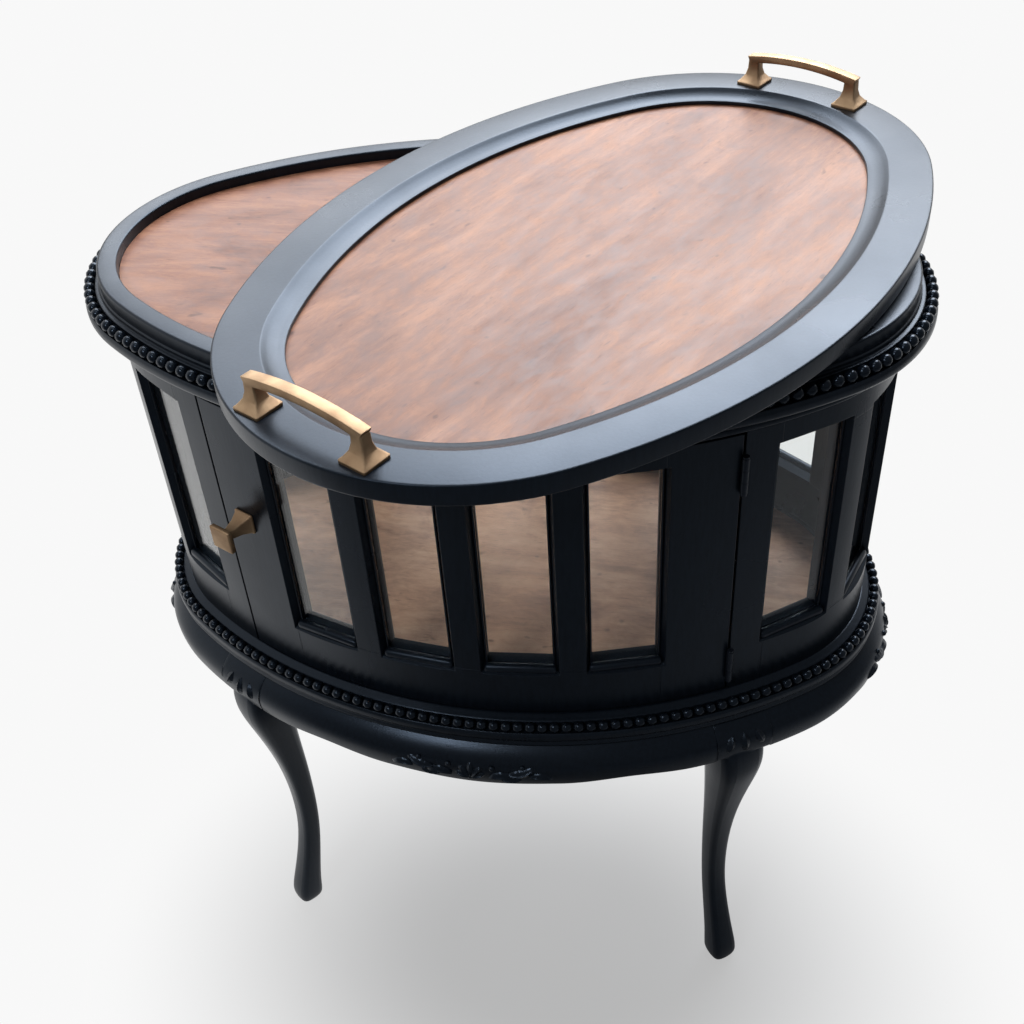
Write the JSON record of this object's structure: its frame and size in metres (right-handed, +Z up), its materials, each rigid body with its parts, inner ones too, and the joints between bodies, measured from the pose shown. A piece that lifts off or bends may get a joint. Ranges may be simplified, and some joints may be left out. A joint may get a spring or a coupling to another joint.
{
  "type": "glass display cabinet",
  "caption": "Oval glazed display cabinet on cabriole legs, with beaded mouldings, a hinged glazed front door, a recessed wooden top and a lift-off oval tray with bar handles.",
  "frame": {"origin": "on the floor under the middle of the oval cabinet", "axes": "+X to the right along the long axis, -Y out of the glazed door, +Z up"},
  "size_m": [0.764, 0.698, 0.8424],
  "materials": {
    "black_paint": "black satin paint on wood",
    "mahogany": "satin varnished red-brown wood",
    "clear_glass": "clear flat glass",
    "satin_brass": "satin gold brass",
    "dark_hinge": "painted over with the cabinet",
    "screw_steel": "plain steel"
  },
  "bodies": {
    "cabinet": {"apron_back": "black_paint", "apron_front": "black_paint", "apron_left": "black_paint", "apron_right": "black_paint", "back_bottom_rail": "black_paint", "back_mullions": "black_paint", "back_top_rail": "black_paint", "base_bead_strip": "black_paint", "base_moulding": "black_paint", "door_stop": "black_paint", "frieze_ring": "black_paint", "left_end_bottom_rail": "black_paint", "left_end_mullions": "black_paint", "left_end_top_rail": "black_paint", "leg_back_left": "black_paint", "leg_back_right": "black_paint", "leg_front_left": "black_paint", "leg_front_right": "black_paint", "post_back_left": "black_paint", "post_back_right": "black_paint", "post_front_left": "black_paint", "post_front_right": "black_paint", "right_end_bottom_rail": "black_paint", "right_end_mullions": "black_paint", "right_end_top_rail": "black_paint", "rim_ring": "black_paint", "top_bead_strip": "black_paint", "top_moulding": "black_paint", "floor_panel": "mahogany", "top_panel": "mahogany", "back_panes": "clear_glass", "left_end_panes": "clear_glass", "right_end_panes": "clear_glass", "hinge_post_leaf_bottom": "dark_hinge", "hinge_post_leaf_top": "dark_hinge", "hinge_pin_bottom": "dark_hinge", "hinge_pin_top": "dark_hinge", "hinge_post_screws": "screw_steel"},
    "door": {"door_bottom_rail": "black_paint", "door_hinge_stile": "black_paint", "door_lock_stile": "black_paint", "door_mullion_left": "black_paint", "door_mullion_middle": "black_paint", "door_mullion_right": "black_paint", "door_top_rail": "black_paint", "door_pane_1": "clear_glass", "door_pane_2": "clear_glass", "door_pane_3": "clear_glass", "door_pane_4": "clear_glass", "door_knob": "satin_brass", "door_knob_screw": "screw_steel", "hinge_door_leaf_bottom": "dark_hinge", "hinge_door_leaf_top": "dark_hinge", "hinge_door_screws": "screw_steel"},
    "tray": {"tray_rim": "black_paint", "tray_panel": "mahogany", "tray_handle_near": "satin_brass", "tray_handle_far": "satin_brass", "tray_handle_screws": "screw_steel"}
  },
  "joints": [
    {"name": "door_hinge", "type": "hinge", "parent": "cabinet", "child": "door", "pos_m": [0.23026, -0.16345, 0.58], "axis": [0, 0, 1], "range_deg": [0, 105]},
    {"name": "tray_lift", "type": "slide", "parent": "cabinet", "child": "tray", "axis": [0, 0, 1], "range_m": [0, 0.25]}
  ]
}
